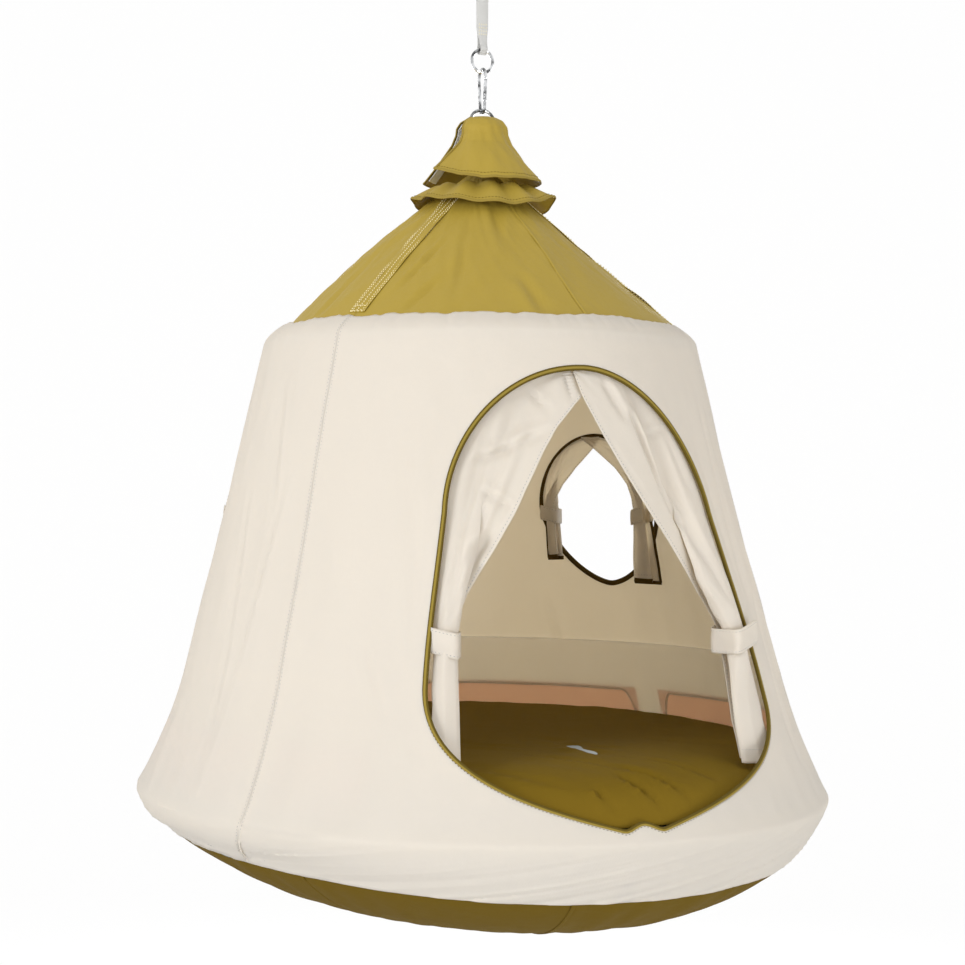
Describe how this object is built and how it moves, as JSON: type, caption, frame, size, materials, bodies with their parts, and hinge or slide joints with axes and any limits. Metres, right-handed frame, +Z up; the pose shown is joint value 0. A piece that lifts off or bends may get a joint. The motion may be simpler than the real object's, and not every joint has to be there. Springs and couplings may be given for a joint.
{
  "type": "hanging swing tent",
  "caption": "Cone-shaped cloth play tent that hangs from a sling, ring and snap hook, with tied-back door and window curtains and an air-cushion floor.",
  "frame": {"origin": "the hang point, in the eye at the top of the webbing sling", "axes": "+Z up along the vertical line that the tent hangs on, door towards -Y"},
  "size_m": [1.098, 1.0979, 1.4866],
  "materials": {
    "webbing": "flat woven webbing, off-white",
    "touch_tape": "cream touch-and-close tape",
    "zinc": "zinc plated, worn satin",
    "olive": "olive plain-weave canvas",
    "piping": "olive bias binding",
    "dark_olive": "dark olive bias binding",
    "hoop_tube": "dull tube",
    "cream": "cream plain-weave canvas",
    "curtain": "cream lighter canvas",
    "vinyl": "soft air-tight vinyl",
    "valve": "soft plastic"
  },
  "bodies": {
    "hanger": {"hanging_strap": "webbing"},
    "swing_ring": {"upper_ring": "zinc"},
    "hook": {"snap_hook": "zinc", "gate_pin": "zinc"},
    "gate": {"hook_gate": "zinc", "gate_spring": "zinc"},
    "tent_ring": {"lower_ring": "zinc", "top_cap": "olive", "cap_touch_tape": "touch_tape"},
    "tent": {"crown_loop": "webbing", "crown_patch": "webbing", "load_strap_1": "webbing", "load_strap_2": "webbing", "load_strap_3": "webbing", "cap_ruffle": "olive", "roof_gore_1": "olive", "roof_gore_2": "olive", "roof_gore_3": "olive", "roof_gore_4": "olive", "roof_gore_5": "olive", "roof_gore_6": "olive", "upper_hoop_1": "hoop_tube", "upper_hoop_2": "hoop_tube", "upper_hoop_3": "hoop_tube", "lower_hoop_1": "hoop_tube", "lower_hoop_2": "hoop_tube", "lower_hoop_3": "hoop_tube", "lower_hoop_4": "hoop_tube", "wall_front": "cream", "wall_right": "cream", "wall_left": "cream", "door_binding": "piping", "window_binding_right": "dark_olive", "window_binding_left": "dark_olive", "lining_flap": "cream", "floor_cover": "olive", "air_cushion": "vinyl", "cushion_valve": "valve", "base_bag": "olive"},
    "door_curtain_left": {"door_curtain_left": "curtain"},
    "door_tie_left": {"door_tie_left": "curtain"},
    "door_curtain_right": {"door_curtain_right": "curtain"},
    "door_tie_right": {"door_tie_right": "curtain"},
    "right_window_curtain_left": {"right_window_curtain_left": "curtain"},
    "right_window_tie_left": {"right_window_tie_left": "curtain"},
    "right_window_curtain_right": {"right_window_curtain_right": "curtain"},
    "right_window_tie_right": {"right_window_tie_right": "curtain"},
    "left_window_curtain_left": {"left_window_curtain_left": "curtain"},
    "left_window_tie_left": {"left_window_tie_left": "curtain"},
    "left_window_curtain_right": {"left_window_curtain_right": "curtain"},
    "left_window_tie_right": {"left_window_tie_right": "curtain"}
  },
  "joints": [
    {"name": "ring_swing", "type": "hinge", "parent": "hanger", "child": "swing_ring", "pos_m": [0, 0, -0.1125], "axis": [1, 0, 0], "range_deg": [-25, 25]},
    {"name": "hook_swing", "type": "hinge", "parent": "swing_ring", "child": "hook", "pos_m": [0, 0, -0.1441], "axis": [0, 1, 0], "range_deg": [-25, 25]},
    {"name": "gate_open", "type": "hinge", "parent": "hook", "child": "gate", "pos_m": [0, -0.0095, -0.1942], "axis": [-1, 0, 0], "range_deg": [0, 25], "stiffness_Nm_per_rad": 0.02, "springref_deg": -20.05},
    {"name": "ring_turn", "type": "hinge", "parent": "hook", "child": "tent_ring", "pos_m": [0, 0, -0.2104], "axis": [0, 0, 1], "range_deg": [-30, 30]},
    {"name": "tent_tilt", "type": "hinge", "parent": "tent_ring", "child": "tent", "pos_m": [0, 0, -0.2534], "axis": [1, 0, 0], "range_deg": [-4, 4]},
    {"name": "door_curtain_swing_left", "type": "hinge", "parent": "tent", "child": "door_curtain_left", "pos_m": [-0.16686, -0.33451, -0.73887], "axis": [0.5293, 0.0486, 0.847], "range_deg": [0, 20], "stiffness_Nm_per_rad": 0.6},
    {"name": "door_tie_open_left", "type": "hinge", "parent": "door_curtain_left", "child": "door_tie_left", "pos_m": [-0.2332, -0.3832, -1.035], "axis": [-0.1282, -0.2107, -0.9691], "range_deg": [0, 100]},
    {"name": "door_curtain_swing_right", "type": "hinge", "parent": "tent", "child": "door_curtain_right", "pos_m": [0.16846, -0.33853, -0.7573], "axis": [0.5473, -0.0205, -0.8367], "range_deg": [0, 20], "stiffness_Nm_per_rad": 0.6},
    {"name": "door_tie_open_right", "type": "hinge", "parent": "door_curtain_right", "child": "door_tie_right", "pos_m": [0.25268, -0.37065, -1.035], "axis": [-0.1389, 0.2038, 0.9691], "range_deg": [0, 100]},
    {"name": "right_window_curtain_swing_left", "type": "hinge", "parent": "tent", "child": "right_window_curtain_left", "pos_m": [0.35323, 0.14274, -0.7669], "axis": [-0.4177, 0.4704, 0.7774], "range_deg": [0, 20], "stiffness_Nm_per_rad": 0.6},
    {"name": "right_window_tie_open_left", "type": "hinge", "parent": "right_window_curtain_left", "child": "right_window_tie_left", "pos_m": [0.37369, 0.12041, -0.865], "axis": [-0.2348, -0.0756, 0.9691], "range_deg": [0, 100]},
    {"name": "right_window_curtain_swing_right", "type": "hinge", "parent": "tent", "child": "right_window_curtain_right", "pos_m": [0.26467, 0.27404, -0.7669], "axis": [-0.2797, 0.5635, -0.7774], "range_deg": [0, 20], "stiffness_Nm_per_rad": 0.6},
    {"name": "right_window_tie_open_right", "type": "hinge", "parent": "right_window_curtain_right", "child": "right_window_tie_right", "pos_m": [0.25163, 0.30138, -0.865], "axis": [0.1581, 0.1893, -0.9691], "range_deg": [0, 100]},
    {"name": "left_window_curtain_swing_left", "type": "hinge", "parent": "tent", "child": "left_window_curtain_left", "pos_m": [-0.26467, 0.27404, -0.7669], "axis": [-0.2797, -0.5635, 0.7774], "range_deg": [0, 20], "stiffness_Nm_per_rad": 0.6},
    {"name": "left_window_tie_open_left", "type": "hinge", "parent": "left_window_curtain_left", "child": "left_window_tie_left", "pos_m": [-0.25163, 0.30138, -0.865], "axis": [0.1581, -0.1893, 0.9691], "range_deg": [0, 100]},
    {"name": "left_window_curtain_swing_right", "type": "hinge", "parent": "tent", "child": "left_window_curtain_right", "pos_m": [-0.35323, 0.14274, -0.7669], "axis": [-0.4177, -0.4704, -0.7774], "range_deg": [0, 20], "stiffness_Nm_per_rad": 0.6},
    {"name": "left_window_tie_open_right", "type": "hinge", "parent": "left_window_curtain_right", "child": "left_window_tie_right", "pos_m": [-0.37369, 0.12041, -0.865], "axis": [-0.2348, 0.0756, -0.9691], "range_deg": [0, 100]}
  ]
}
